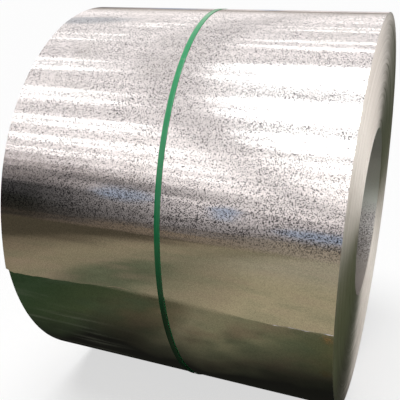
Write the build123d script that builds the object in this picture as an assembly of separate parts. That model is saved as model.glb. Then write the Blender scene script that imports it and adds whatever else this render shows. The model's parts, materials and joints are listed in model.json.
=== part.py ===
"""Galvanised steel coil, lying with its bore level along X, held by one green strap."""
import math
import os

from build123d import *

# Coil
coil_width = 900.0
coil_diameter = 1155.0
bore_diameter = 508.0
sheet_thickness = 1.2

# Turns on the ends: bands of turns stand a little to one side of one another
side_play = 1.6
band_edge_shares = (0.0, 0.07, 0.16, 0.27, 0.36, 0.48, 0.57, 0.69, 0.8, 0.91, 1.0)
band_side_shares = (0.35, 1.0, 0.55, 0.0, 0.7, 0.4, 1.0, 0.6, 0.0, 0.75)
outer_wrap_side_share = 0.5

# Head of the strip, the step inside the bore where the winding starts
head_angle = -20.0
head_relief = 2.4

# Tail of the outer wrap, sprung off the coil toward its corners, read from left to right
tail_root_angle = 8.0
tail_reach = 182.0
tail_lift = 9.0
tail_sink = 3.0
tail_place_shares = (-0.5, -0.25, -0.1, 0.02, 0.16, 0.3, 0.5)
tail_reach_shares = (0.987, 0.955, 0.892, 0.911, 0.944, 1.005, 0.972)
tail_lift_shares = (1.0, 0.42, 0.12, 0.0, 0.1, 0.24, 0.45)
tail_sink_shares = (0.0, 0.0, 0.6, 1.0, 0.6, 0.0, 0.0)

# Strap, one plastic band that runs round the coil a little askew
strap_width = 15.0
strap_thickness = 1.0
strap_clearance = 0.2
strap_offset = -14.4
strap_lean_back_share = -0.0522
strap_lean_up_share = -0.041
weld_length = 80.0
weld_angle = 138.0

coil_radius = coil_diameter / 2
bore_radius = bore_diameter / 2
strip_width = coil_width - side_play
core_radius = coil_radius - 2 * sheet_thickness
strap_radius = coil_radius + strap_clearance
axis_height = strap_radius + strap_thickness


def outward(angle):
    """Direction off the coil's axis, as Y and Z, at an angle above level on the front."""
    turn = math.radians(angle)
    return -math.cos(turn), math.sin(turn)


def on_circle(radius, angle, centre=(0, 0)):
    """Point on a circle in the coil's section."""
    y, z = outward(angle)
    return centre[0] + radius * y, centre[1] + radius * z


def arc(radius, first, last, centre=(0, 0)):
    """Arc of the coil's section from one angle to another."""
    middle = (first + last) / 2
    return ThreePointArc(
        on_circle(radius, first, centre),
        on_circle(radius, middle, centre),
        on_circle(radius, last, centre),
    )


def section(place):
    """Plane across the coil at a place along its axis."""
    return Plane(origin=(place, 0, 0), x_dir=(0, 1, 0), z_dir=(1, 0, 0))


def left_side(share):
    """Place of a turn's left edge, given its share of the side play."""
    return -coil_width / 2 + share * side_play


def make_core():
    """Turned body with its bore and with the stepped bands of turns on both ends."""
    wound = core_radius - bore_radius
    edges = [bore_radius + share * wound for share in band_edge_shares]
    right = []
    left = []
    for number, share in enumerate(band_side_shares):
        place = left_side(share)
        for radius in (edges[number], edges[number + 1]):
            right.append((place + strip_width, radius))
            left.append((place, radius))
    outline = Polyline(*right, *reversed(left), close=True)
    return revolve(Plane.XZ * make_face(outline), Axis.X, 360)


def make_outer_wrap():
    """Last turn, drawn as two half circles that step down by one sheet under the tail."""
    first = tail_root_angle
    half = first + 180
    end = first + 360
    y, z = outward(first)
    drop = sheet_thickness / 2
    low_centre = (-drop * y, -drop * z)
    high = arc(coil_radius, first, half)
    low = arc(coil_radius - drop, half, end, low_centre)
    step = Line(low @ 1, high @ 0)
    face = make_face([high, low, step]) - Circle(core_radius - sheet_thickness)
    return extrude(section(left_side(outer_wrap_side_share)) * face, strip_width)


def tail_section(place_share, reach_share, lift_share, sink_share):
    """Section of the free tail, an arc flatter than the coil that leaves it at the root."""
    reach = tail_reach * reach_share
    lift = tail_lift * lift_share
    radius = 1 / (1 / coil_radius - 2 * lift / reach**2)
    y, z = outward(tail_root_angle)
    centre = ((coil_radius - radius) * y, (coil_radius - radius) * z)
    end = tail_root_angle - math.degrees(reach / radius)
    middle = (tail_root_angle + end) / 2
    root_depth = sheet_thickness + tail_sink
    end_depth = sheet_thickness + tail_sink * sink_share
    outer = arc(radius, tail_root_angle, end, centre)
    inner = ThreePointArc(
        on_circle(radius - end_depth, end, centre),
        on_circle(radius - (root_depth + end_depth) / 2, middle, centre),
        on_circle(radius - root_depth, tail_root_angle, centre),
    )
    edge = Line(outer @ 1, inner @ 0)
    root = Line(inner @ 1, outer @ 0)
    place = left_side(outer_wrap_side_share) + strip_width * (place_share + 1 / 2)
    return section(place) * make_face([outer, edge, inner, root])


def make_tail():
    """Free end of the strip, lofted along the coil's width."""
    shares = zip(tail_place_shares, tail_reach_shares, tail_lift_shares, tail_sink_shares)
    return loft([tail_section(*row) for row in shares])


def make_head():
    """Crescent taken out of the bore, which leaves the step at the head of the strip."""
    radius = bore_radius - head_relief
    y, z = outward(head_angle)
    offset = bore_radius + sheet_thickness - radius
    crescent = Pos(offset * y, offset * z) * Circle(radius)
    side = Pos(bore_radius * y, bore_radius * z) * Rot(0, 0, -head_angle) * Rectangle(
        2 * bore_radius, bore_radius, align=(Align.CENTER, Align.MAX)
    )
    return extrude(section(-coil_width) * (crescent & side), 2 * coil_width)


def make_coil():
    """Whole coil as one solid."""
    whole = make_core() + make_outer_wrap() + make_tail() - make_head()
    return Pos(0, 0, axis_height) * whole


def strap_layer(radius):
    """One thickness of strap round the whole coil."""
    outer = Circle(radius + strap_thickness)
    ring = extrude(section(-coil_width / 2) * (outer - Circle(radius)), coil_width)
    askew = Plane(
        origin=(strap_offset, 0, 0),
        x_dir=(0, 1, 0),
        z_dir=(1, -strap_lean_back_share, -strap_lean_up_share),
    )
    slab = askew * Box(2 * coil_diameter, 2 * coil_diameter, strap_width)
    return ring & slab


def make_strap():
    """Strap with the short overlap where its two ends are welded together."""
    y, z = outward(weld_angle)
    place = Pos(0, strap_radius * y, strap_radius * z) * Rot(180 - weld_angle, 0, 0)
    window = place * Box(coil_width, bore_radius, weld_length)
    whole = strap_layer(strap_radius) + (strap_layer(strap_radius + strap_thickness) & window)
    return Pos(0, 0, axis_height) * whole


os.makedirs("parts", exist_ok=True)
export_step(make_coil(), "parts/coil.step")
export_step(make_strap(), "parts/strap.step")
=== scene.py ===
"""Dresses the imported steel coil: spangled zinc, wound ends, a sprung tail and one green strap."""
import json
import math

import bpy
import numpy as np
from bpy.props import FloatProperty, FloatVectorProperty, PointerProperty
from mathutils import Euler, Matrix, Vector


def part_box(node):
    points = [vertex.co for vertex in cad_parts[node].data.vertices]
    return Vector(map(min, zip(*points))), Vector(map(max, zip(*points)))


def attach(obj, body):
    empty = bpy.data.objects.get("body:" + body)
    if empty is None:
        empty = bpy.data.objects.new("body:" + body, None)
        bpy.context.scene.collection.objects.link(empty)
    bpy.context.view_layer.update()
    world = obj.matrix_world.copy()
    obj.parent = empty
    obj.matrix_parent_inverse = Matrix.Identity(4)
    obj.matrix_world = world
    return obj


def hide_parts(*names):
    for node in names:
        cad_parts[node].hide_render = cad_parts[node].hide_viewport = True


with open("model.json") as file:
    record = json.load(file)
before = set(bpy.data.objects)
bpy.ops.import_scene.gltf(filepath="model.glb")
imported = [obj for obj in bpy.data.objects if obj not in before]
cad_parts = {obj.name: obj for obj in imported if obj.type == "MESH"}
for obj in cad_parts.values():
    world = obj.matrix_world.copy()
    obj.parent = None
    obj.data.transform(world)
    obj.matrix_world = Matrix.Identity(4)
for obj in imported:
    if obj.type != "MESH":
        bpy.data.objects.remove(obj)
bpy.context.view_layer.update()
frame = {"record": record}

bl_info = {
    "name": "Galvanised coil",
    "version": (1, 0, 0),
    "blender": (4, 5, 0),
    "location": "View3D > Sidebar > Coil",
    "description": "Builds a strapped galvanised coil and a plain stage around its frame",
    "category": "Object",
}

BORE = next(mount for mount in frame["record"]["mounts"] if mount["name"] == "bore")
AXIS_HEIGHT = BORE["pos_m"][2]
BORE_RADIUS = BORE["dims"]["r_mm"] / 1000
COIL_LOW, COIL_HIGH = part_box("coil")
FULL_TURN = 2 * math.pi

# Tail of the outer wrap, read from left to right: places as shares of the coil's width, then
# shares of the tail's reach and of its lift
TAIL_PLACES = (-0.5, -0.25, -0.1, 0.02, 0.16, 0.3, 0.5)
TAIL_REACHES = (0.987, 0.955, 0.892, 0.911, 0.944, 1.005, 0.972)
TAIL_LIFTS = (1.0, 0.42, 0.12, 0.015, 0.1, 0.24, 0.45)
TAIL_LEAST_LIFT = 0.00015

# Sheared edge of the tail: width and depth of its cut corner, place, half width and height of each
# burr, depth, radians per metre and phase of its ragged line, and rows of points close to the edge
TAIL_DOG_EAR = (0.02, 0.012)
TAIL_BURRS = (
    (0.166, 0.007, 0.0014), (0.31, 0.007, 0.0021), (0.35, 0.02, 0.0012),
    (0.39, 0.012, 0.0014), (0.435, 0.01, 0.0019), (-0.1, 0.035, 0.0008))
TAIL_BURR_REACH = 0.0026
TAIL_NICKS = ((0.0007, 83, 1.0), (0.0005, 211, 2.2))
TAIL_EDGE_ROWS = (0.0012, 0.0026, 0.0045)

# Rest of the outer wrap: its slow waves as height, waves round, radians per metre along and phase,
# where they fade out, how its hidden end lies under the tail, and how finely it is divided
RIPPLES = (
    (1.0, 11, 5.1, 0.7), (0.8, 17, -3.3, 2.1), (0.6, 29, 7.9, 4.4), (0.5, 7, -12.7, 1.3),
    (0.4, 41, 2.2, 5.6))
RIPPLE_FADE = 0.25
RIPPLE_END = 6.0
WRAP_END_GAP = math.radians(2.6)
WRAP_DROP_SHARE = 1.04
WRAP_SIDE_SHARE = 0.5
WRAP_TAIL_ROWS = 30
WRAP_ROUND_ROWS = 330
WRAP_STATIONS = 73

# Turns on the ends: bands of turns stand to one side of one another, and groups of turns a little more
BAND_EDGES = (0.0, 0.07, 0.16, 0.27, 0.36, 0.48, 0.57, 0.69, 0.8, 0.91, 1.0)
BAND_SIDES = (0.35, 1.0, 0.55, 0.0, 0.7, 0.4, 1.0, 0.6, 0.0, 0.75)
TURN_GROUP = 0.0085
TURN_GROOVE = 0.00025
TURN_WANDER = 0.00012
TURN_SEED = 11
LAST_PHASE = 6.28

# Bore, with the step at the head of the strip
HEAD_ANGLE = math.radians(-20)
HEAD_STEP = math.radians(0.06)
HEAD_RUN = math.radians(48)
BORE_LIP = 0.0003
BORE_ROWS = 12
RING_POINTS = 288

# Strap
STRAP_SOLID_THICKNESS = 0.001
STRAP_GAP = 0.0002
STRAP_PLACE = -0.0144
STRAP_LEAN_BACK = -0.0522
STRAP_LEAN_UP = -0.041
STRAP_SOFT_SHARE = 0.3
STRAP_POINTS = 360
WELD_ANGLE = math.radians(138)
WELD_LENGTH = 0.08
WELD_POINTS = 61
WELD_LIFT_SHARE = 0.98

# Angles past which neighbouring faces show a crease
SHEET_CREASE = math.radians(32)
STRAP_CREASE = math.radians(50)

# Bake map: where the coil's surfaces lie on it
UV_MAP = "OFBake"
MAP_EDGE = 0.005
MAP_SPAN = 0.99
WRAP_MAP_SCALE = 1 / 1.93
WRAP_SECOND_HALF = 0.48
WRAP_INSIDE = (0.98, 0.962, 0.02)
WRAP_EDGES = (0.985, 0.991)
WRAP_EDGE_GAP = 0.003
WRAP_EDGE_SPAN = 0.002
RIGHT_END_MAP = 0.005
LEFT_END_MAP = 0.285
END_SECOND_HALF = 0.14
END_SPAN = 0.13
BORE_MAP = (0.57, 0.38)
HIDDEN_MAP = (0.96, 0.98)

# Finishes that lie over the zinc, the edges and the strap
STAIN = (0.52, 0.50, 0.45)
SCUFF = (0.8, 0.8, 0.78)
END_STAIN = (0.34, 0.31, 0.25)
EDGE_BRIGHT = (0.86, 0.83, 0.78)
# Painted sheen: a paler, greener tint over the bore's upper wall
BORE_PAINTED_SHEEN = (0.90, 0.95, 0.91)
# Settled dust and painted shade: brown-grey toward the bottom of the bore
BORE_SHADE_AND_DUST = (0.37, 0.325, 0.29)
BORE_SHADE_AND_DUST_FROM = AXIS_HEIGHT - 0.15
BORE_SHADE_AND_DUST_FULL = AXIS_HEIGHT - 0.24
WELD_PALE = (0.12, 0.42, 0.22)
STRAP_SCUFF = (0.45, 0.62, 0.5)

# Matt specks of the spangle: heights over which they come in, thin out again and end where the bore's
# painted sheen takes over, and how much denser they are where they come in. The grains are real; keeping
# them mostly to the upper zinc, which mirrors bright surroundings, and thinning them lower down is painted
# shade.
SPECK_FADE = 0.045
SPECK_CROWD = 0.11
PAINTED_SHEEN_FADE = 0.05
SPECK_RISE = 2.1

# Rust spots by the tail's right corner: centre, radius and strength
RUST_SPOTS = (
    ((0.436, -0.566, AXIS_HEIGHT - 0.117), 0.019, 0.6),
    ((0.4314, -0.528, AXIS_HEIGHT - 0.2364), 0.018, 0.3))

# Stage: the floor, then the cards that only reflections see
FLOOR_REACH = 90.0
FLOOR_SPREAD_SHARE = 0.025
FLOOR_SEEN_SHARE = 0.35
FLOOR_GLOW = 0.71
WORLD_SPREAD = 0.025
WORLD_SEEN = 0.98
LOW_CARD_REACH = 5.2
LOW_CARD_HEIGHT = 0.002
ROUND_CARD_RADIUS = 5.0
ROUND_CARD_HEIGHT = 1.9
ROUND_CARD_SIDES = 64
TOP_CARD_REACH = 26.0
TOP_CARD_GAP = 0.1
LIGHT_RISE = 4.0

# Strip lights, in shares of their rise over the axis: places of the pairs, the two rows of a pair,
# the way a strip fades toward its ends, and the way it fades toward its sides
LIGHT_PAIRS = (2.5, 2.08, 1.66, 1.25, 0.83, 0.41, -0.05, -0.45, -0.85, -1.25, -1.66, -2.08, -2.5)
LIGHT_ROWS = (0.06, -0.06)
LIGHT_FADE = ((0.0, 0.0), (0.22, 0.05), (0.45, 0.2), (0.7, 0.55), (1.0, 1.0))
LIGHT_SIDE = ((1.7, 0.0), (1.1, 0.04), (0.75, 0.2), (0.4, 0.6))


class CoilSizes(bpy.types.PropertyGroup):
    """Sizes of the coil and its strap."""

    width: FloatProperty(
        name="Width", description="Overall width of the coil",
        default=COIL_HIGH.x - COIL_LOW.x, unit="LENGTH")
    radius: FloatProperty(
        name="Radius", description="Outside radius of the outer wrap",
        default=AXIS_HEIGHT - STRAP_SOLID_THICKNESS - STRAP_GAP, unit="LENGTH")
    sheet: FloatProperty(
        name="Sheet", description="Thickness of the strip", default=0.0012, unit="LENGTH")
    side_play: FloatProperty(
        name="Side play", description="How far turns stand to one side of one another",
        default=0.0016, unit="LENGTH")
    turn_step: FloatProperty(
        name="Turn step", description="Deepest step between neighbouring turns on the ends",
        default=0.0005, unit="LENGTH")
    tail_lift: FloatProperty(
        name="Tail lift", description="How far the tail's left corner springs off the coil",
        default=0.0088, unit="LENGTH")
    tail_reach: FloatProperty(
        name="Tail reach", description="Length of the sprung tail", default=0.182, unit="LENGTH")
    tail_root: FloatProperty(
        name="Tail root", description="Angle above level where the tail leaves the coil",
        default=math.radians(8), subtype="ANGLE")
    waviness: FloatProperty(
        name="Waviness", description="Depth of the slow waves in the outer wrap",
        default=0.00035, unit="LENGTH")
    strap_width: FloatProperty(
        name="Strap width", description="Width of the strap", default=0.015, unit="LENGTH")
    strap_thickness: FloatProperty(
        name="Strap thickness", description="Thickness of the strap", default=0.00094, unit="LENGTH")


class CoilColours(bpy.types.PropertyGroup):
    """Colours of the coil, its strap and the floor."""

    zinc: FloatVectorProperty(
        name="Zinc", description="Bright zinc grains", default=(0.78, 0.77, 0.765), subtype="COLOR")
    zinc_dull: FloatVectorProperty(
        name="Dull zinc", description="Matt zinc grains", default=(0.055, 0.053, 0.057), subtype="COLOR")
    edge: FloatVectorProperty(
        name="Sheared edge", description="Bare edges of the strip",
        default=(0.80, 0.77, 0.72), subtype="COLOR")
    edge_dark: FloatVectorProperty(
        name="Dark edge", description="Shaded gaps between turns",
        default=(0.60, 0.58, 0.53), subtype="COLOR")
    rust: FloatVectorProperty(
        name="Rust", description="Rust stain by the tail's corner",
        default=(0.70, 0.38, 0.10), subtype="COLOR")
    strap: FloatVectorProperty(
        name="Strap", description="Green of the strap", default=(0.02, 0.42, 0.155), subtype="COLOR")
    strap_dark: FloatVectorProperty(
        name="Strap shade", description="Darker green along the strap",
        default=(0.016, 0.35, 0.125), subtype="COLOR")
    floor: FloatVectorProperty(
        name="Floor", description="Pale studio floor", default=(0.93, 0.93, 0.93), subtype="COLOR")


class CoilStage(bpy.types.PropertyGroup):
    """Camera and lamp of the plain stage."""

    camera_place: FloatVectorProperty(
        name="Camera", description="Place of the camera",
        default=(0.6062, -1.7854, 1.2356), subtype="TRANSLATION", unit="LENGTH")
    camera_pitch: FloatProperty(
        name="Pitch", description="How far the camera looks down",
        default=math.radians(19.84), subtype="ANGLE")
    camera_heading: FloatProperty(
        name="Heading", description="How far the camera turns left of straight on",
        default=math.radians(21.66), subtype="ANGLE")
    camera_lens: FloatProperty(
        name="Lens", description="Focal length in millimetres", default=54.66, unit="CAMERA")
    lamp_energy: FloatProperty(
        name="Lamp", description="Strength of the broad lamp overhead", default=3.0)
    lamp_spread: FloatProperty(
        name="Lamp spread", description="How broad the lamp overhead looks from the coil",
        default=math.radians(42), subtype="ANGLE")


# Meshes and objects


def outward(angle):
    """Y and Z of the direction off the axis at an angle in radians above level on the front."""
    return np.stack([-np.cos(angle), np.sin(angle)], -1)


def add_object(name, data):
    """Puts an object in the scene."""
    thing = bpy.data.objects.new(name, data)
    bpy.context.scene.collection.objects.link(thing)
    return thing


def new_mesh(name, points, faces):
    """A mesh made of points and faces."""
    mesh = bpy.data.meshes.new(name)
    mesh.from_pydata(points, [], faces)
    return mesh


class Skin:
    """Faces of a piece, each with its material slot and its places on the bake map."""

    def __init__(self):
        self.faces, self.slots, self.places = [], [], []

    def add(self, face, slot, places, flip=False):
        """Adds a face, turned over if need be."""
        self.faces.append(face[::-1] if flip else face)
        self.slots.append(slot)
        self.places.append(places[::-1] if flip else places)


def add_piece(name, points, faces, slots, crease, places=None):
    """Makes a piece whose faces carry their material slots and any places on the bake map."""
    mesh = new_mesh(name, points, faces)
    if places:
        layer = mesh.uv_layers.new(name=UV_MAP)
        layer.uv.foreach_set("vector", np.array(places, np.float32).ravel())
    mesh.polygons.foreach_set("material_index", np.array(slots, np.int32))
    mesh.validate()
    mesh.shade_smooth()
    mesh.set_sharp_from_angle(angle=crease)
    return add_object(name, mesh)


def dress(piece, slot, node, *materials):
    """Gives a piece its materials and ties it to the frame."""
    for material in materials:
        piece.data.materials.append(material)
    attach(piece, "root")
    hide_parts(node)


# Shader helpers


class Web:
    """Adds nodes to an emptied tree and joins them."""

    def __init__(self, tree):
        tree.nodes.clear()
        self.tree = tree

    def add(self, kind, inputs=(), **settings):
        node = self.tree.nodes.new(kind)
        for key, value in settings.items():
            setattr(node, key, value)
        for key, value in dict(inputs).items():
            self.set(node.inputs[key], value)
        return node

    def set(self, socket, value):
        if isinstance(value, bpy.types.NodeSocket):
            self.tree.links.new(value, socket)
        elif hasattr(socket.default_value, "__len__") and len(socket.default_value) == 4:
            socket.default_value = (*value[:3], 1)
        else:
            socket.default_value = value

    def math(self, operation, first, second=0.0):
        return self.add("ShaderNodeMath", {0: first, 1: second}, operation=operation).outputs[0]

    def vector(self, operation, first, second=(0, 0, 0)):
        node = self.add("ShaderNodeVectorMath", {0: first, 1: second}, operation=operation)
        return node.outputs["Value" if operation in ("LENGTH", "DISTANCE") else "Vector"]

    def scaled(self, vector, scale):
        node = self.add("ShaderNodeVectorMath", {"Vector": vector, "Scale": scale}, operation="SCALE")
        return node.outputs["Vector"]

    def mix(self, factor, first, second, blend="MIX"):
        node = self.add("ShaderNodeMix", data_type="RGBA", blend_type=blend)
        for number, part in ((0, factor), (6, first), (7, second)):
            self.set(node.inputs[number], part)
        return node.outputs[2]

    def range(self, value, low, high, to_low=0.0, to_high=1.0):
        parts = dict(enumerate((value, low, high, to_low, to_high)))
        return self.add("ShaderNodeMapRange", parts, clamp=True).outputs[0]

    def noise(self, vector, scale, detail=2.0, roughness=0.5, output="Fac"):
        return self.add("ShaderNodeTexNoise", {
            "Vector": vector, "Scale": scale, "Detail": detail, "Roughness": roughness}).outputs[output]

    def line_noise(self, along, scale, detail, roughness=0.5):
        return self.add("ShaderNodeTexNoise", {
            "W": along, "Scale": scale, "Detail": detail, "Roughness": roughness},
            noise_dimensions="1D").outputs["Fac"]

    def ramp(self, factor, *stops):
        node = self.add("ShaderNodeValToRGB", {"Fac": factor})
        band = node.color_ramp
        while len(band.elements) < len(stops):
            band.elements.new(1.0)
        for element, (place, colour) in zip(band.elements, stops):
            element.position = place
            element.color = (*colour, 1)
        return node.outputs["Color"]

    def place(self):
        return self.add("ShaderNodeTexCoord").outputs["Object"]

    def xyz(self, place):
        return self.add("ShaderNodeSeparateXYZ", {"Vector": place}).outputs

    def channels(self, colour):
        return self.add("ShaderNodeSeparateColor", {"Color": colour}).outputs

    def bump(self, strength, distance, height, **normal):
        return self.add("ShaderNodeBump", {
            "Strength": strength, "Distance": distance, "Height": height, **normal}).outputs["Normal"]


def new_material(name):
    """A material with an emptied tree, and the socket that takes its surface."""
    material = bpy.data.materials.new(name)
    material.use_nodes = True
    web = Web(material.node_tree)
    return material, web, web.add("ShaderNodeOutputMaterial").inputs["Surface"]


def solid_material(name):
    """A material with a shader for solid things, and the sockets of that shader."""
    material, web, surface = new_material(name)
    shader = web.add("ShaderNodeBsdfPrincipled")
    web.set(surface, shader.outputs[0])
    return material, web, shader.inputs


# Effects that the finishes share


def new_group(name, inputs, outputs):
    """A shader node group with its sockets and nothing between them."""
    tree = bpy.data.node_groups.new(name, "ShaderNodeTree")
    for label, default in inputs.items():
        socket = tree.interface.new_socket(label, in_out="INPUT", socket_type="NodeSocketFloat")
        socket.default_value = default
    for label, kind in outputs.items():
        tree.interface.new_socket(label, in_out="OUTPUT", socket_type="NodeSocket" + kind)
    web = Web(tree)
    return web, web.add("NodeGroupInput").outputs, web.add("NodeGroupOutput").inputs


def zinc_spangle(name):
    """Zinc grains: which are matt, how bright each is, and how each one tilts."""
    web, given, out = new_group(
        name, {"Grains": 560.0, "Tilt": 0.014, "Matt share": 0.26},
        {"Matt": "Float", "Tone": "Float", "Normal": "Vector"})
    place = web.place()
    warp = web.noise(place, 620.0, 1.0, output="Color")
    bent = web.vector("ADD", place, web.scaled(warp, 0.0008))
    colour = web.add("ShaderNodeTexVoronoi", {
        "Vector": bent, "Scale": given["Grains"], "Randomness": 1.0}).outputs["Color"]
    chance, tone, _ = web.channels(colour)
    patches = web.noise(place, 9.0, 3.0)
    share = web.math("MULTIPLY", given["Matt share"], web.range(patches, 0.35, 0.65, 0.75, 1.3))
    web.set(out["Matt"], web.range(web.math("SUBTRACT", share, chance), -0.04, 0.06))
    web.set(out["Tone"], tone)
    lean = web.vector("SUBTRACT", colour, (0.5, 0.5, 0.5))
    turn = web.scaled(lean, web.math("MULTIPLY", web.vector("LENGTH", lean), given["Tilt"]))
    normal = web.add("ShaderNodeNewGeometry").outputs["Normal"]
    web.set(out["Normal"], web.vector("NORMALIZE", web.vector("ADD", normal, turn)))


def rolled_ribs(name):
    """Faint ribs along the coil's width, left by the rolling, as a height."""
    web, given, out = new_group(name, {"Fine": 70.0}, {"Height": "Float"})
    drawn = web.vector("MULTIPLY", web.place(), (0.045, 1.0, 1.0))
    fine = web.noise(drawn, given["Fine"])
    broad = web.noise(drawn, 22.0, 1.0)
    web.set(out["Height"], web.math("ADD", fine, web.math("MULTIPLY", broad, 1.6)))


def handling_marks(name):
    """Handling marks: soft stains and thin scuffs, as masks."""
    web, given, out = new_group(name, {"Amount": 1.0}, {"Stain": "Float", "Scuff": "Float"})
    place = web.place()
    stain = web.range(web.noise(place, 5.5, 5.0, 0.6), 0.5, 0.78)
    web.set(out["Stain"], web.math("MULTIPLY", stain, given["Amount"]))
    thin = web.noise(web.vector("MULTIPLY", place, (9.0, 60.0, 60.0)), 3.0, 3.0, 0.7)
    patch = web.range(web.noise(place, 4.0), 0.5, 0.62)
    scuff = web.math("MULTIPLY", web.range(thin, 0.66, 0.72), patch)
    web.set(out["Scuff"], web.math("MULTIPLY", scuff, given["Amount"]))


def wound_turns(name):
    """Edges of the wound turns: tone and height of each turn by its distance from the axis."""
    web, given, out = new_group(name, {"Turns": 400.0}, {"Tone": "Float", "Height": "Float"})
    place = web.vector("SUBTRACT", web.place(), (0, 0, AXIS_HEIGHT))
    radius = web.vector("LENGTH", web.vector("MULTIPLY", place, (0, 1, 1)))
    along = web.math("ADD", radius, web.math("MULTIPLY", web.noise(place, 1.3, 1.0), 0.004))
    coarse = web.line_noise(along, 95.0, 4.0, 0.65)
    fine = web.line_noise(along, given["Turns"], 1.0)
    both = web.math("ADD", web.math("MULTIPLY", coarse, 0.6), web.math("MULTIPLY", fine, 0.4))
    web.set(out["Tone"], both)
    web.set(out["Height"], both)


EFFECTS = {
    "Zinc spangle": zinc_spangle,
    "Rolled ribs": rolled_ribs,
    "Handling marks": handling_marks,
    "Wound turns": wound_turns,
}


def effect(web, name):
    """Places a shared effect in a material, and builds it the first time."""
    if name not in bpy.data.node_groups:
        EFFECTS[name](name)
    return web.add("ShaderNodeGroup", node_tree=bpy.data.node_groups[name])


# Finishes of the pieces


def stain_spot(web, centre, radius):
    """Mask of one small stain with a ragged edge."""
    place = web.place()
    rag = web.math("SUBTRACT", web.noise(place, 120.0, 4.0), 0.5)
    gap = web.math("ADD", web.vector("DISTANCE", place, centre), web.math("MULTIPLY", rag, radius * 1.6))
    return web.range(gap, radius, radius * 0.2)


def zinc_material(name, colours, matt_share, matt_from, matt_to=None, dulling=0.0, dust=0.0, rust_spots=()):
    """Galvanised sheet with its spangle, rolling ribs and stains, any rust, and any dust with painted shade
    low down.

    Matt specks start at one height over the axis, and where matt_to is given they end at another, above
    which the zinc turns to a paler, greener tint: a painted sheen.
    """
    material, web, shader = solid_material(name)
    spangle = effect(web, "Zinc spangle")
    ribs = effect(web, "Rolled ribs")
    stain, scuff = effect(web, "Handling marks").outputs
    height = web.xyz(web.place())["Z"]
    # Matt grains come in above this height and crowd just over it: real grains, spread by height as painted
    # shade that follows the light
    low = AXIS_HEIGHT + matt_from
    full = low + SPECK_FADE
    web.set(spangle.inputs["Matt share"],
            web.range(height, full + SPECK_CROWD, full, matt_share, SPECK_RISE * matt_share))
    matt = web.math("MULTIPLY", spangle.outputs["Matt"], web.range(height, low, full, 0.14, 1.0))
    grain = spangle.outputs["Tone"]
    bright = web.mix(1.0, colours.zinc, web.range(grain, 0.0, 1.0, 0.86, 1.06), "MULTIPLY")
    # Above matt_to the specks fade and the zinc turns to a paler tint: painted sheen on the bore's upper
    # wall
    if matt_to is not None:
        top = AXIS_HEIGHT + matt_to
        painted_sheen = web.range(height, top, top + PAINTED_SHEEN_FADE)
        matt = web.math("MULTIPLY", matt, web.range(painted_sheen, 0.0, 1.0, 1.0, 0.06))
        bright = web.mix(painted_sheen, bright, BORE_PAINTED_SHEEN)
    colour = web.mix(matt, bright, colours.zinc_dull)
    colour = web.mix(web.math("MULTIPLY", stain, 0.22), colour, STAIN)
    colour = web.mix(web.math("MULTIPLY", scuff, 0.4), colour, SCUFF)
    # Settled dust and painted shade, darker brown-grey toward the bottom of the bore
    if dust:
        dust_and_shade_height = web.math("ADD", height, web.range(stain, 0.0, 1.0, 0.0, -0.05))
        colour = web.mix(web.range(dust_and_shade_height, BORE_SHADE_AND_DUST_FROM, BORE_SHADE_AND_DUST_FULL, 0.0, dust), colour, BORE_SHADE_AND_DUST)
    rough = web.math("ADD", web.math("MULTIPLY", matt, 0.06),
                     web.range(grain, 0.0, 1.0, 0.05 + dulling, 0.085 + dulling))
    rough = web.math("ADD", rough, web.math("MULTIPLY", stain, 0.1))
    metal = 1.0
    for centre, radius, strength in rust_spots:
        spot = web.math("MULTIPLY", stain_spot(web, centre, radius), strength)
        colour = web.mix(spot, colour, colours.rust)
        rough = web.math("ADD", rough, web.math("MULTIPLY", spot, 0.35))
        metal = web.math("SUBTRACT", metal, web.math("MULTIPLY", spot, 0.25))
    web.set(shader["Base Color"], colour)
    web.set(shader["Roughness"], rough)
    web.set(shader["Metallic"], metal)
    web.set(shader["Normal"],
            web.bump(1.0, 0.0001, ribs.outputs["Height"], Normal=spangle.outputs["Normal"]))
    return material


def turns_material(colours):
    """Wound ends: bare sheared edges packed side by side, which spread light across the turns."""
    material, web, shader = solid_material("wound_ends")
    tone, height = effect(web, "Wound turns").outputs
    stain = effect(web, "Handling marks").outputs["Stain"]
    colour = web.mix(web.range(tone, 0.3, 0.6), colours.edge_dark, colours.edge)
    web.set(shader["Base Color"], web.mix(web.math("MULTIPLY", stain, 0.3), colour, END_STAIN))
    web.set(shader["Roughness"], web.range(tone, 0.3, 0.7, 0.6, 0.5))
    web.set(shader["Normal"], web.bump(0.3, 0.0003, height))
    shader["Metallic"].default_value = 1.0
    shader["Anisotropic"].default_value = 0.9
    shader["Anisotropic Rotation"].default_value = 0.25
    tangent = web.add("ShaderNodeTangent", direction_type="UV_MAP", uv_map=UV_MAP)
    web.set(shader["Tangent"], tangent.outputs["Tangent"])
    return material


def edge_material(colours):
    """Fresh sheared edge of the strip at the tail and at the sides of the outer wrap."""
    material, web, shader = solid_material("sheared_edge")
    height = effect(web, "Wound turns").outputs["Height"]
    grain = web.noise(web.place(), 260.0, 3.0)
    web.set(shader["Base Color"], web.mix(grain, colours.edge, EDGE_BRIGHT))
    web.set(shader["Roughness"], web.range(grain, 0.2, 0.8, 0.24, 0.45))
    web.set(shader["Normal"], web.bump(0.2, 0.0003, height))
    shader["Metallic"].default_value = 0.55
    return material


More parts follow.
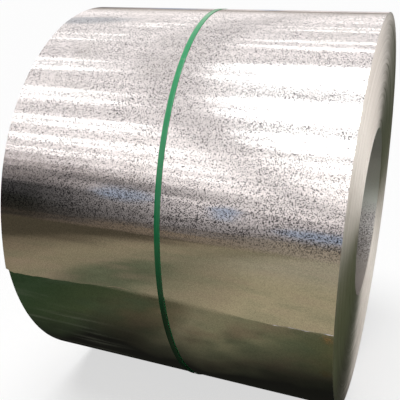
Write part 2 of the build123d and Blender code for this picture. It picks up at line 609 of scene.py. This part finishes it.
def strap_material(name, colours, weld):
    """Green plastic strap, glossy, with faint lines along it and light scuffs, paler at the weld."""
    material, web, shader = solid_material(name)
    scuff = effect(web, "Handling marks").outputs["Scuff"]
    place = web.place()
    drawn = web.noise(web.vector("MULTIPLY", place, (26.0, 1.0, 1.0)), 38.0)
    colour = web.mix(web.range(drawn, 0.35, 0.65), colours.strap_dark, colours.strap)
    if weld:
        colour = web.mix(web.range(web.noise(place, 420.0), 0.45, 0.6, 0.0, 0.35), colour, WELD_PALE)
    web.set(shader["Base Color"], web.mix(web.math("MULTIPLY", scuff, 0.35), colour, STRAP_SCUFF))
    web.set(shader["Roughness"], web.range(drawn, 0.3, 0.7, 0.11, 0.22))
    web.set(shader["Normal"], web.bump(0.25, 0.0003, drawn))
    shader["Specular IOR Level"].default_value = 0.5
    return material


# Outer wrap


def smooth_between(places, values, wanted):
    """Runs a soft line through a few values across the coil's width."""
    samples, reach, softness = 401, 40, 18.0
    fine = np.linspace(-0.5, 0.5, samples)
    line = np.interp(fine, places, values)
    weights = np.exp(-(np.arange(-reach, reach + 1) / softness) ** 2)
    padded = np.pad(line, reach, mode="reflect", reflect_type="odd")
    return np.interp(wanted, fine, np.convolve(padded, weights / weights.sum(), mode="valid"))


def ripple(angle, place):
    """Slow uneven waves over the barrel, from 0 to 1."""
    value = sum(high * np.sin(around * angle + along * place + phase)
                for high, around, along, phase in RIPPLES)
    return 0.5 + value / (2 * sum(wave[0] for wave in RIPPLES))


def strip_section(place, sizes):
    """Outer and inner lines of the outer wrap across the coil, from the tail's edge to its hidden end."""
    share = np.clip(place / sizes.width, -0.5, 0.5)
    root = sizes.tail_root

    # Free tail, an arc flatter than the coil
    nick = sum(deep * math.sin(waves * place + phase) for deep, waves, phase in TAIL_NICKS)
    ear_width, ear_depth = TAIL_DOG_EAR
    ear = ear_depth * max(0.0, 1 - (share + 0.5) * sizes.width / ear_width)
    whole = sizes.tail_reach * smooth_between(TAIL_PLACES, TAIL_REACHES, share)
    reach = whole + nick - ear
    lift = max(sizes.tail_lift * smooth_between(TAIL_PLACES, TAIL_LIFTS, share), TAIL_LEAST_LIFT)
    flat = 1 / (1 / sizes.radius - 2 * lift / whole**2)
    along = reach * np.linspace(1, 0, WRAP_TAIL_ROWS + 1)[:-1]
    along[1:1 + len(TAIL_EDGE_ROWS)] = reach - np.array(TAIL_EDGE_ROWS)
    centre = (sizes.radius - flat) * outward(np.array(root))
    free_angle = root - along / flat
    burr = sum(high * math.exp(-(((place - at) / half) ** 2)) for at, half, high in TAIL_BURRS)
    flare = burr * np.clip(1 - (reach - along) / TAIL_BURR_REACH, 0, 1) ** 2

    # Rest of the turn, whose second half steps down by one sheet toward its hidden end
    turn = np.linspace(0, FULL_TURN - WRAP_END_GAP, WRAP_ROUND_ROWS)
    angle = root + turn
    drop = WRAP_DROP_SHARE * sizes.sheet / 2
    low_centre = -drop * outward(np.array(root))
    depth = sizes.waviness * ripple(angle, place)
    depth *= np.clip(turn / RIPPLE_FADE, 0, 1)
    depth *= np.clip((RIPPLE_END - turn) / RIPPLE_FADE, 0, 1)
    lines = []
    for inset in (0.0, sizes.sheet):
        free = centre + (flat - inset + flare)[:, None] * outward(free_angle)
        high = (sizes.radius - inset - depth)[:, None] * outward(angle)
        low = low_centre + (sizes.radius - drop - inset - depth)[:, None] * outward(angle)
        lines.append(np.concatenate([free, np.where((turn > math.pi)[:, None], low, high)]))
    return lines


def wrap_skin(sizes, widths):
    """Faces of the outer wrap. Its outside lies on the bake map in two halves, one above the other."""
    outer, _ = strip_section(0.0, sizes)
    run = np.concatenate([[0], np.cumsum(np.linalg.norm(np.diff(outer, axis=0), axis=1))])
    half = int(np.searchsorted(run, run[-1] / 2))
    count, stations = len(outer), len(widths)
    inside_span, inside_low, inside_high = WRAP_INSIDE
    tail_map, side_map = WRAP_EDGES
    skin = Skin()

    def outside(number, station, second):
        along = (run[number] - (run[half] if second else 0)) * WRAP_MAP_SCALE
        across = widths[station] * WRAP_MAP_SCALE + (WRAP_SECOND_HALF if second else 0)
        return MAP_EDGE + along, MAP_EDGE + across

    def inside(number, station):
        return MAP_EDGE + number / count * inside_span, inside_low + station / stations * inside_high

    for j in range(stations - 1):
        near, far = j * 2 * count, (j + 1) * 2 * count
        near_inner, far_inner = near + count, far + count
        for i in range(count - 1):
            second = i >= half
            skin.add((near + i, far + i, far + i + 1, near + i + 1), 0,
                     [outside(i, j, second), outside(i, j + 1, second),
                      outside(i + 1, j + 1, second), outside(i + 1, j, second)])
            skin.add((near_inner + i, near_inner + i + 1, far_inner + i + 1, far_inner + i), 0,
                     [inside(i, j), inside(i + 1, j), inside(i + 1, j + 1), inside(i, j + 1)])
        left, right = j / stations, (j + 1) / stations
        for i, flip in ((0, True), (count - 1, False)):
            low = tail_map + (WRAP_EDGE_GAP if flip else 0)
            high = low + WRAP_EDGE_SPAN
            skin.add((near + i, far + i, far_inner + i, near_inner + i), 1,
                     [(left, low), (right, low), (right, high), (left, high)], flip)
    for j, flip in ((0, True), (stations - 1, False)):
        low = side_map + (WRAP_EDGE_GAP if flip else 0)
        high = low + WRAP_EDGE_SPAN
        base = j * 2 * count
        for i in range(count - 1):
            left, right = i / count, (i + 1) / count
            skin.add((base + i, base + count + i, base + count + i + 1, base + i + 1), 1,
                     [(left, low), (left, high), (right, high), (right, low)], flip)
    return skin


class COIL_OT_outer_wrap(bpy.types.Operator):
    """Builds the last turn of the strip with its sprung tail"""

    bl_idname = "coil.outer_wrap"
    bl_label = "Outer wrap"

    def execute(self, context):
        sizes = context.scene.coil_sizes
        colours = context.scene.coil_colours
        left = -sizes.width / 2 + WRAP_SIDE_SHARE * sizes.side_play
        across = np.linspace(left, left + sizes.width - sizes.side_play, WRAP_STATIONS)
        points = []
        for place in across:
            for line in strip_section(place, sizes):
                points.extend((place, y, z + AXIS_HEIGHT) for y, z in line)
        skin = wrap_skin(sizes, across - left)
        piece = add_piece("coil_outer_wrap", points, skin.faces, skin.slots, SHEET_CREASE, skin.places)
        dress(piece, "galvanised_steel", "coil",
              zinc_material("galvanised_sheet", colours, 0.18, 0.07, rust_spots=RUST_SPOTS),
              edge_material(colours))
        return {"FINISHED"}


# Wound body


class Lathe:
    """Rings of points round the coil's axis, and strips of faces between them."""

    def __init__(self, angles):
        self.angles = angles
        self.count = len(angles)
        self.turned = np.append(np.mod(angles - angles[0], FULL_TURN), FULL_TURN) / FULL_TURN
        self.points = []
        self.skin = Skin()

    def ring(self, places, radii):
        """Adds a ring and gives the number of its first point."""
        start = len(self.points)
        y, z = outward(self.angles).T
        radii = np.broadcast_to(radii, self.count)
        self.points.extend(zip(np.broadcast_to(places, self.count), radii * y, radii * z + AXIS_HEIGHT))
        return start

    def strip(self, first, second, slot, mapping):
        """Joins two rings, with each face's places on the bake map from a function."""
        for i in range(self.count):
            n = (i + 1) % self.count
            quad = (first + i, first + n, second + n, second + i)
            (u0, u1), (v0, v1, v2, v3) = mapping(i, [self.points[q] for q in quad])
            self.skin.add(quad, slot, [(u0, v0), (u1, v1), (u1, v2), (u0, v3)])


def turn_rings(sizes, wound):
    """Rings across the ends, two to a group of turns: radius, side share, step at each end, and phase."""
    chance = np.random.default_rng(TURN_SEED)
    rings = []
    for number, side in enumerate(BAND_SIDES):
        first = BORE_RADIUS + BAND_EDGES[number] * wound
        last = BORE_RADIUS + BAND_EDGES[number + 1] * wound
        groups = max(2, round((last - first) / TURN_GROUP))
        edges = np.linspace(first, last, groups + 1)
        steps = chance.uniform(0, 1, (2, groups)) * sizes.turn_step
        steps[:, groups // 2] = 0
        for k in range(groups):
            phase = chance.uniform(0, LAST_PHASE)
            for radius in (edges[k] + TURN_GROOVE, edges[k + 1] - TURN_GROOVE):
                rings.append((radius, side, steps[:, k], phase))
    return rings


def wind_body(sizes):
    """Turned body with stepped turns on its ends, the bore and the step at the head of the strip."""
    wound = sizes.radius - 2 * sizes.sheet - BORE_RADIUS
    strip = sizes.width - sizes.side_play
    left = -sizes.width / 2
    angles = np.sort(np.concatenate([
        HEAD_ANGLE + np.linspace(0, FULL_TURN, RING_POINTS, endpoint=False), [HEAD_ANGLE - HEAD_STEP]]))
    past = np.mod(angles - HEAD_ANGLE, FULL_TURN)
    bore = BORE_RADIUS + np.clip(1 - past / HEAD_RUN, 0, 1) ** 2 * sizes.sheet
    lathe = Lathe(angles)

    def end_map(start):
        """Half turns of an end, unrolled one above the other."""
        def mapping(i, corners):
            second = i >= lathe.count // 2
            base = start + END_SECOND_HALF * second
            radii = [math.hypot(y, z - AXIS_HEIGHT) for _, y, z in corners]
            return (MAP_EDGE + MAP_SPAN * np.mod(2 * lathe.turned[[i, i + 1]] - second, 1.001),
                    [base + END_SPAN * (radius - BORE_RADIUS) / wound for radius in radii])
        return mapping

    def bore_map(i, corners):
        low, span = BORE_MAP
        return (MAP_EDGE + MAP_SPAN * lathe.turned[[i, i + 1]],
                [low + span * (x - left) / sizes.width for x, _, _ in corners])

    def hidden_map(i, _):
        low, high = HIDDEN_MAP
        return (i / lathe.count, (i + 1) / lathe.count), (low, low, high, high)

    ends = []
    rings = turn_rings(sizes, wound)
    for end, sign, start in ((0, 1, RIGHT_END_MAP), (1, -1, LEFT_END_MAP)):
        starts = []
        for number, (radius, side, steps, phase) in enumerate(rings):
            face = left + side * sizes.side_play + (strip if sign > 0 else 0)
            drift = TURN_WANDER * (0.5 + 0.5 * np.sin(2 * angles + phase)) * (steps[end] > 0)
            starts.append(lathe.ring(
                face - sign * (steps[end] + drift), radius if number else bore + BORE_LIP))
        for first, second in zip(starts, starts[1:]):
            order = (first, second) if sign > 0 else (second, first)
            lathe.strip(*order, 0, end_map(start))
        ends.append(starts)

    # Bore wall, then the hidden outside of the turns
    right_end, left_end = ends
    side = left + BAND_SIDES[0] * sizes.side_play
    walls = [lathe.ring(side + strip * k / BORE_ROWS, bore) for k in range(BORE_ROWS + 1)]
    for first, second in zip(walls, walls[1:]):
        lathe.strip(first, second, 1, bore_map)
    lathe.strip(left_end[0], walls[0], 0, end_map(LEFT_END_MAP))
    lathe.strip(walls[-1], right_end[0], 0, end_map(RIGHT_END_MAP))
    lathe.strip(right_end[-1], left_end[-1], 1, hidden_map)
    return lathe.points, lathe.skin


class COIL_OT_wound_body(bpy.types.Operator):
    """Builds the wound turns inside the outer wrap, with their stepped ends and the bore"""

    bl_idname = "coil.wound_body"
    bl_label = "Wound body"

    def execute(self, context):
        colours = context.scene.coil_colours
        points, skin = wind_body(context.scene.coil_sizes)
        piece = add_piece("coil_wound_body", points, skin.faces, skin.slots, SHEET_CREASE, skin.places)
        dress(piece, "galvanised_steel", "coil", turns_material(colours),
              zinc_material("galvanised_bore", colours, 0.22, -0.25, matt_to=-0.1, dulling=0.3, dust=0.7))
        return {"FINISHED"}


# Strap


def strap_run(sizes, first, last, lift, count, closed):
    """Points and faces of a length of strap that lies round the coil, with softened edges."""
    half, thick = sizes.strap_width / 2, sizes.strap_thickness
    soft = STRAP_SOFT_SHARE * thick
    flat = (-half + soft, -half / 2, 0, half / 2, half - soft)
    profile = [(-half, soft), *((across, 0) for across in flat), (half, soft),
               (half, thick - soft), *((across, thick) for across in reversed(flat)), (-half, thick - soft)]
    stretch = math.sqrt(1 + STRAP_LEAN_BACK**2 + STRAP_LEAN_UP**2)
    points = []
    for angle in np.linspace(first, last, count, endpoint=not closed):
        y, z = outward(np.array(angle))
        for across, up in profile:
            radius = sizes.radius + STRAP_GAP + lift + up
            lean = STRAP_LEAN_BACK * radius * y + STRAP_LEAN_UP * radius * z
            points.append((STRAP_PLACE + across * stretch + lean, radius * y, radius * z + AXIS_HEIGHT))
    width = len(profile)
    faces = []
    for i in range(count if closed else count - 1):
        n = (i + 1) % count
        for k in range(width):
            m = (k + 1) % width
            faces.append((i * width + k, n * width + k, n * width + m, i * width + m))
    if not closed:
        faces.append(tuple(range(width)))
        faces.append(tuple((count - 1) * width + k for k in reversed(range(width))))
    return points, faces


class COIL_OT_strap(bpy.types.Operator):
    """Builds the green strap and the welded overlap of its two ends"""

    bl_idname = "coil.strap"
    bl_label = "Strap"

    def execute(self, context):
        sizes = context.scene.coil_sizes
        colours = context.scene.coil_colours
        points, faces = strap_run(sizes, 0, FULL_TURN, 0, STRAP_POINTS, True)
        spread = WELD_LENGTH / 2 / (sizes.radius + sizes.strap_thickness)
        over, over_faces = strap_run(
            sizes, WELD_ANGLE - spread, WELD_ANGLE + spread,
            sizes.strap_thickness * WELD_LIFT_SHARE, WELD_POINTS, False)
        slots = [0] * len(faces) + [1] * len(over_faces)
        faces += [tuple(len(points) + k for k in face) for face in over_faces]
        piece = add_piece("strap_band", points + over, faces, slots, STRAP_CREASE)
        dress(piece, "green_strap", "strap",
              strap_material("green_strap", colours, False), strap_material("green_weld", colours, True))
        return {"FINISHED"}


# Stage


def oval(web, across, upward, centre, halves, ragged):
    """Mask of a soft oval patch with a ragged edge."""
    gaps = []
    for value, middle, half in zip((across, upward), centre, halves):
        share = web.math("DIVIDE", web.math("SUBTRACT", value, middle), half)
        gaps.append(web.math("MULTIPLY", share, share))
    gap = web.math("ADD", web.math("ADD", *gaps), web.range(ragged, 0.3, 0.7, -0.3, 0.3))
    return web.range(gap, 1.2, 0.3)


def glow(web, colour):
    """A shader that only glows."""
    return web.add("ShaderNodeEmission", {"Color": colour, "Strength": 1.0}).outputs[0]


def round_card_material():
    """Card all round, which the barrel mirrors near level: dark to the left, greyer to the right."""
    material, web, surface = new_material("round_card")
    place = web.place()
    x, _, z = web.xyz(place)
    streaks = web.noise(web.vector("MULTIPLY", place, (0.5, 0.5, 3.2)), 1.5, 3.0)
    height = web.math("ADD", z, web.range(streaks, 0.3, 0.7, -0.3, 0.3))
    height = web.range(height, 0.0, ROUND_CARD_HEIGHT)
    left = web.ramp(
        height, (0.0, (0.12, 0.09, 0.066)), (0.2, (0.03, 0.027, 0.021)), (0.45, (0.024, 0.025, 0.022)),
        (0.7, (0.07, 0.066, 0.066)), (1.0, (0.34, 0.30, 0.29)))
    right = web.ramp(
        height, (0.0, (0.27, 0.21, 0.15)), (0.15, (0.2, 0.175, 0.16)), (0.4, (0.38, 0.345, 0.34)),
        (0.6, (0.58, 0.53, 0.52)), (0.8, (0.78, 0.71, 0.7)), (1.0, (1.08, 0.99, 0.97)))
    pale = web.ramp(
        height, (0.0, (0.55, 0.51, 0.46)), (0.5, (0.8, 0.77, 0.74)), (1.0, (0.97, 0.95, 0.94)))
    colour = web.mix(web.range(x, -2.9, -1.4), left, right)
    low = web.math("MULTIPLY", web.range(x, -1.2, -0.5), web.range(z, 0.72, 0.5))
    colour = web.mix(low, colour, (0.37, 0.31, 0.235))
    colour = web.mix(web.range(x, 0.2, 1.4), colour, pale)
    blue = 0.0
    for centre, halves in (
            ((-2.16, 1.62), (0.3, 0.34)), ((-1.22, 1.4), (0.16, 0.42)), ((-0.28, 0.95), (0.46, 0.3))):
        blue = web.math("MAXIMUM", blue, oval(web, x, z, centre, halves, streaks))
    web.set(surface, glow(web, web.mix(web.math("MULTIPLY", blue, 0.85), colour, (0.37, 0.44, 0.57))))
    return material


def top_card_material():
    """Pale card overhead, duller along one band and far off, with faint lines across."""
    material, web, surface = new_material("top_card")
    place = web.place()
    x, y, _ = web.xyz(place)
    lines = web.noise(web.vector("MULTIPLY", place, (0.12, 1.0, 1.0)), 2.6)
    colour = web.ramp(
        web.range(y, -12.0, 16.0), (0.0, (0.30, 0.27, 0.265)), (0.08, (0.42, 0.37, 0.36)),
        (0.13, (0.66, 0.59, 0.58)), (0.21, (0.95, 0.87, 0.86)), (0.29, (1.14, 1.06, 1.05)),
        (0.5, (1.14, 1.07, 1.06)), (0.7, (1.2, 1.12, 1.1)), (0.82, (0.9, 0.83, 0.8)),
        (1.0, (0.42, 0.37, 0.33)))
    bright = web.ramp(
        web.range(y, -12.0, -4.0), (0.0, (1.05, 0.97, 0.95)), (0.4, (1.26, 1.17, 1.15)),
        (1.0, (1.4, 1.31, 1.29)))
    front = web.math("MULTIPLY", web.range(x, -6.5, -3.0), web.range(y, -3.0, -5.0))
    colour = web.mix(front, colour, bright)
    haze = web.math("MULTIPLY", web.range(y, 0.6, 0.0), web.range(y, -5.0, -3.6))
    haze = web.math("MULTIPLY", web.range(x, -1.4, -0.9), haze)
    colour = web.mix(haze, colour, (1.42, 1.37, 1.36))
    gap = oval(web, x, y, (-3.85, 4.1), (0.7, 1.0), lines)
    colour = web.mix(web.math("MULTIPLY", gap, 0.8), colour, (0.6, 0.62, 0.66))
    band = web.math("MULTIPLY", web.range(x, -2.1, -1.9), web.range(x, -1.25, -1.4))
    level = web.math("MULTIPLY", web.range(lines, 0.3, 0.7, 0.9, 1.1), web.range(band, 0, 1, 1.0, 0.86))
    web.set(surface, glow(web, web.mix(1.0, colour, level, "MULTIPLY")))
    return material


def strip_light_material():
    """Strip lights, which add to the card behind them and are brightest overhead."""
    material, web, surface = new_material("strip_lights")
    place = web.place()
    shine = web.ramp(
        web.range(web.xyz(place)["Y"], -10.0, 10.0), (0.0, (0.34, 0.31, 0.305)),
        (0.17, (0.56, 0.54, 0.53)), (0.25, (0.78, 0.76, 0.75)), (0.32, (1.0, 0.985, 0.97)),
        (0.52, (1.0, 0.985, 0.97)), (0.58, (0.45, 0.44, 0.43)), (0.8, (0.16, 0.15, 0.145)),
        (1.0, (0.05, 0.046, 0.043)))
    lines = web.noise(web.vector("MULTIPLY", place, (0.25, 2.2, 1.0)), 2.0)
    level = web.add("ShaderNodeAttribute", attribute_name="level").outputs["Fac"]
    level = web.math("MULTIPLY", level, web.range(lines, 0.3, 0.7, 0.6, 1.4))
    clear = web.add("ShaderNodeBsdfTransparent").outputs[0]
    both = {0: glow(web, web.mix(1.0, shine, level, "MULTIPLY")), 1: clear}
    web.set(surface, web.add("ShaderNodeAddShader", both).outputs[0])
    return material


def far_low_card(web, x, off, patch, hue):
    """Colour of the low card away from the coil: beige, greener in places, brown far off to the left."""
    bent = web.math("ADD", x, web.range(patch, 0.3, 0.7, -0.18, 0.18))
    colour = web.ramp(
        web.range(bent, -1.45, 0.55), (0.0, (0.25, 0.2, 0.13)), (0.25, (0.29, 0.245, 0.155)),
        (0.47, (0.225, 0.205, 0.13)), (0.6, (0.31, 0.27, 0.172)), (0.73, (0.42, 0.36, 0.225)))
    green = oval(web, x, off, (-0.57, 1.28), (0.2, 0.58), patch)
    colour = web.mix(green, colour, (0.122, 0.132, 0.078))
    beige = web.math("MULTIPLY", web.range(off, 1.7, 2.6), web.range(x, -0.6, -0.2))
    colour = web.mix(beige, colour, (0.4, 0.355, 0.25))
    colour = web.mix(web.range(hue, 0.5, 0.66, 0.0, 0.3), colour, (0.36, 0.26, 0.19))
    colour = web.mix(web.range(hue, 0.48, 0.34, 0.0, 0.35), colour, (0.19, 0.205, 0.125))
    brown = web.math("MULTIPLY", web.range(off, 1.8, 3.4), web.range(x, -1.0, -2.2))
    colour = web.mix(brown, colour, (0.15, 0.11, 0.08))
    corner = web.math("MULTIPLY", web.range(off, 1.4, 2.1), web.range(bent, -1.1, -1.6))
    return web.mix(corner, colour, (0.075, 0.062, 0.04))


def near_low_card(web, place, x, patch, hue):
    """Colour of the low card close to the coil: dark olive to the left, paler past the middle."""
    drift = web.math("ADD", x, web.range(patch, 0.3, 0.7, -0.07, 0.07))
    colour = web.ramp(
        web.range(drift, -0.8, 0.4), (0.0, (0.026, 0.05, 0.022)), (0.16, (0.038, 0.058, 0.026)),
        (0.28, (0.052, 0.07, 0.032)), (0.36, (0.064, 0.073, 0.038)), (0.43, (0.09, 0.082, 0.045)),
        (0.5, (0.125, 0.11, 0.064)), (0.57, (0.235, 0.21, 0.13)), (0.66, (0.22, 0.205, 0.122)),
        (0.82, (0.18, 0.174, 0.1)), (0.93, (0.105, 0.108, 0.058)), (1.0, (0.1, 0.1, 0.047)))
    mottle = web.noise(web.vector("MULTIPLY", place, (1.0, 1.1, 1.0)), 5.0, 4.0, 0.55)
    colour = web.mix(web.range(mottle, 0.52, 0.7, 0.0, 0.5), colour, (0.026, 0.03, 0.018))
    warm = web.math("MULTIPLY", web.range(hue, 0.5, 0.66, 0.0, 0.5), web.range(x, -0.45, -0.2))
    colour = web.mix(warm, colour, (0.17, 0.12, 0.078))
    return web.mix(web.range(hue, 0.5, 0.36, 0.0, 0.4), colour, (0.055, 0.082, 0.045))


def low_card_material():
    """Low card that the barrel's lower half mirrors, with the coil's shadow painted on it, darkest right
    under the coil.
    """
    material, web, surface = new_material("low_card")
    place = web.place()
    x, y, _ = web.xyz(place)
    off = web.math("ABSOLUTE", y)
    patch = web.noise(place, 1.6, 3.0)
    hue = web.channels(web.noise(
        web.vector("MULTIPLY", place, (1.0, 1.1, 1.0)), 4.5, 3.0, 0.55, "Color"))[0]
    near = near_low_card(web, place, x, patch, hue)
    far = far_low_card(web, x, off, patch, hue)
    line = web.math("SUBTRACT", off, web.range(x, 0.0, -0.3, 0.93, 0.97))
    colour = web.mix(web.range(line, 0.0, 0.04), near, far)
    # Painted shadow of the coil: the card darkens toward it
    shade = web.math("ADD", off, web.range(patch, 0.3, 0.7, -0.1, 0.1))
    for start, end, shift in ((-0.4, -0.52, 0.2), (-0.26, -0.14, 0.07), (0.0, 0.15, -0.06)):
        shade = web.math("ADD", shade, web.range(x, start, end, 0.0, shift))
    colour = web.mix(web.range(shade, 0.77, 0.54, 0.0, 0.78), colour, (0.014, 0.016, 0.012))
    colour = web.mix(web.range(shade, 0.55, 0.45), colour, (0.010, 0.010, 0.008))
    streak = web.noise(web.vector("MULTIPLY", place, (0.55, 9.0, 1.0)), 3.2, 3.0, 0.6)
    left = web.math("MULTIPLY", web.range(x, -0.2, -0.42), web.range(off, 0.82, 0.7))
    streak = web.math("MULTIPLY", web.range(streak, 0.56, 0.7), left)
    colour = web.mix(web.math("MULTIPLY", streak, 0.4), colour, (0.16, 0.17, 0.125))
    colour = web.mix(web.range(x, 0.5, 0.62), colour, (0.075, 0.088, 0.046))
    # Painted shadow under and behind the coil
    behind = web.ramp(patch, (0.3, (0.05, 0.062, 0.04)), (0.7, (0.085, 0.098, 0.065)))
    web.set(surface, glow(web, web.mix(web.range(y, 0.2, 0.6), colour, behind)))
    return material


def square(reach, height):
    """Corners of a level square round the origin."""
    corners = ((-1, -1), (1, -1), (1, 1), (-1, 1))
    return [(reach * across, reach * along, height) for across, along in corners]


def add_card(name, points, faces, material):
    """A stage card that only reflections see."""
    mesh = new_mesh(name, points, faces)
    mesh.materials.append(material)
    card = add_object(name, mesh)
    card.visible_camera = False
    card.visible_diffuse = False
    card.visible_shadow = False
    card.visible_transmission = False
    return card


def light_strips():
    """Strip lights: row, start, end, half width, level and length of the fade at each end."""
    strips = []
    for pair in LIGHT_PAIRS:
        side = 0.4 * max(0.0, abs(pair) - 1)
        start = -0.84 if 0.8 < pair < 1.3 else -1.5 - 2 * side
        half, level = (0.07, 6.5) if -1 < pair < 0.2 else (0.021, 7.4)
        strips.append((pair, start, -0.44, 0.12, 0.45, 0.22))
        for row in LIGHT_ROWS:
            strips += [(pair + row, start, -0.42, 0.021, 3.4, 0.28),
                       (pair + row, -0.40, 0.28 + side, half, level, 0.27),
                       (pair + row, 0.45 + side, 1.3 + 2 * side, 0.05, 2.6, 0.27)]
    return strips


def add_strip_lights():
    """Strip lights as one card, whose points carry their level of light."""
    up = AXIS_HEIGHT + LIGHT_RISE
    across = [*((-part, share) for part, share in LIGHT_SIDE), (0.0, 1.0), *reversed(LIGHT_SIDE)]
    width = len(across)
    points, faces, levels = [], [], []
    for row, start, end, half, level, soft in light_strips():
        base = len(points)
        along = [*((start + part * soft, share) for part, share in LIGHT_FADE),
                 *((end - part * soft, share) for part, share in reversed(LIGHT_FADE))]
        for place, share in along:
            for edge, core in across:
                points.append((place * LIGHT_RISE, (row + edge * half) * LIGHT_RISE, up))
                levels.append(share * core * level)
        for j in range(len(along) - 1):
            for k in range(base + j * width, base + j * width + width - 1):
                faces.append((k + 1, k + 1 + width, k + width, k))
    card = add_card("strip_lights", points, faces, strip_light_material())
    card.data.attributes.new("level", "FLOAT", "POINT").data.foreach_set("value", levels)


def add_cards():
    """Cards below, all round and overhead, and the strip lights."""
    add_card("low_card", square(LOW_CARD_REACH, LOW_CARD_HEIGHT), [(0, 1, 2, 3)], low_card_material())
    count = ROUND_CARD_SIDES
    turns = [FULL_TURN * k / count for k in range(count)]
    points = [(ROUND_CARD_RADIUS * math.cos(turn), ROUND_CARD_RADIUS * math.sin(turn), height)
              for height in (0.0, ROUND_CARD_HEIGHT) for turn in turns]
    faces = [(k, (k + 1) % count, count + (k + 1) % count, count + k) for k in range(count)]
    add_card("round_card", points, faces, round_card_material())
    top = AXIS_HEIGHT + LIGHT_RISE + TOP_CARD_GAP
    add_card("top_card", square(TOP_CARD_REACH, top), [(3, 2, 1, 0)], top_card_material())
    add_strip_lights()


def seen_rays(web):
    """1 for rays from the camera, mirrors and glass, and 0 for light that spreads."""
    path = web.add("ShaderNodeLightPath").outputs
    return web.math("MAXIMUM", path["Is Camera Ray"],
                    web.math("MAXIMUM", path["Is Glossy Ray"], path["Is Transmission Ray"]))


def add_floor(pale):
    """Pale floor far wider than the view."""
    material, web, shader = solid_material("pale_floor")
    seen = seen_rays(web)
    shares = [[share * part for part in pale] for share in (FLOOR_SPREAD_SHARE, FLOOR_SEEN_SHARE)]
    web.set(shader["Base Color"], web.mix(seen, *shares))
    web.set(shader["Emission Color"], pale)
    web.set(shader["Emission Strength"], web.math("MULTIPLY", seen, FLOOR_GLOW))
    shader["Roughness"].default_value = 0.8
    shader["Specular IOR Level"].default_value = 0.0
    mesh = new_mesh("floor", square(FLOOR_REACH, 0), [(0, 1, 2, 3)])
    mesh.materials.append(material)
    add_object("floor", mesh)


def add_lights(scene, stage):
    """Soft light from the world and from one broad lamp overhead."""
    world = bpy.data.worlds.new("studio")
    world.use_nodes = True
    scene.world = world
    web = Web(world.node_tree)
    strength = web.range(seen_rays(web), 0, 1, WORLD_SPREAD, WORLD_SEEN)
    sky = web.add("ShaderNodeBackground", {"Color": (1, 1, 1), "Strength": strength})
    web.set(web.add("ShaderNodeOutputWorld").inputs["Surface"], sky.outputs[0])
    data = bpy.data.lights.new("overhead", "SUN")
    data.energy = stage.lamp_energy
    data.angle = stage.lamp_spread
    lamp = add_object("overhead", data)
    lamp.rotation_euler = Euler((math.radians(2), math.radians(-6), 0))
    lamp.location = (0, 0, LIGHT_RISE)
    lamp.visible_glossy = False
    lamp.visible_camera = False


def add_camera(scene, stage):
    """Camera at the photograph's viewing angle."""
    data = bpy.data.cameras.new("camera")
    data.lens = stage.camera_lens
    data.sensor_width = 36.0
    data.clip_end = 400.0
    camera = add_object("camera", data)
    camera.location = stage.camera_place
    camera.rotation_euler = Euler((math.pi / 2 - stage.camera_pitch, 0, stage.camera_heading))
    scene.camera = camera


class COIL_OT_stage(bpy.types.Operator):
    """Builds the pale floor, the soft light, the cards that the metal mirrors, and the camera"""

    bl_idname = "coil.stage"
    bl_label = "Stage"

    def execute(self, context):
        scene = context.scene
        scene.view_settings.view_transform = "Standard"
        add_floor(scene.coil_colours.floor)
        add_cards()
        add_lights(scene, scene.coil_stage)
        add_camera(scene, scene.coil_stage)
        return {"FINISHED"}


class COIL_PT_panel(bpy.types.Panel):
    """Lists the coil's sizes, colours and pieces"""

    bl_label = "Coil"
    bl_idname = "COIL_PT_panel"
    bl_space_type = "VIEW_3D"
    bl_region_type = "UI"
    bl_category = "Coil"

    def draw(self, context):
        for group in (context.scene.coil_sizes, context.scene.coil_colours, context.scene.coil_stage):
            for name in group.__annotations__:
                self.layout.prop(group, name)
        for operator in OPERATORS:
            self.layout.operator(operator.bl_idname)


OPERATORS = (COIL_OT_wound_body, COIL_OT_outer_wrap, COIL_OT_strap, COIL_OT_stage)
CLASSES = (CoilSizes, CoilColours, CoilStage, *OPERATORS, COIL_PT_panel)


def register():
    for each in CLASSES:
        bpy.utils.register_class(each)
    bpy.types.Scene.coil_sizes = PointerProperty(type=CoilSizes)
    bpy.types.Scene.coil_colours = PointerProperty(type=CoilColours)
    bpy.types.Scene.coil_stage = PointerProperty(type=CoilStage)


def unregister():
    del bpy.types.Scene.coil_stage
    del bpy.types.Scene.coil_colours
    del bpy.types.Scene.coil_sizes
    for each in reversed(CLASSES):
        bpy.utils.unregister_class(each)


def main():
    register()
    bpy.ops.coil.wound_body()
    bpy.ops.coil.outer_wrap()
    bpy.ops.coil.strap()
    bpy.ops.coil.stage()


if __name__ == "__main__":
    main()
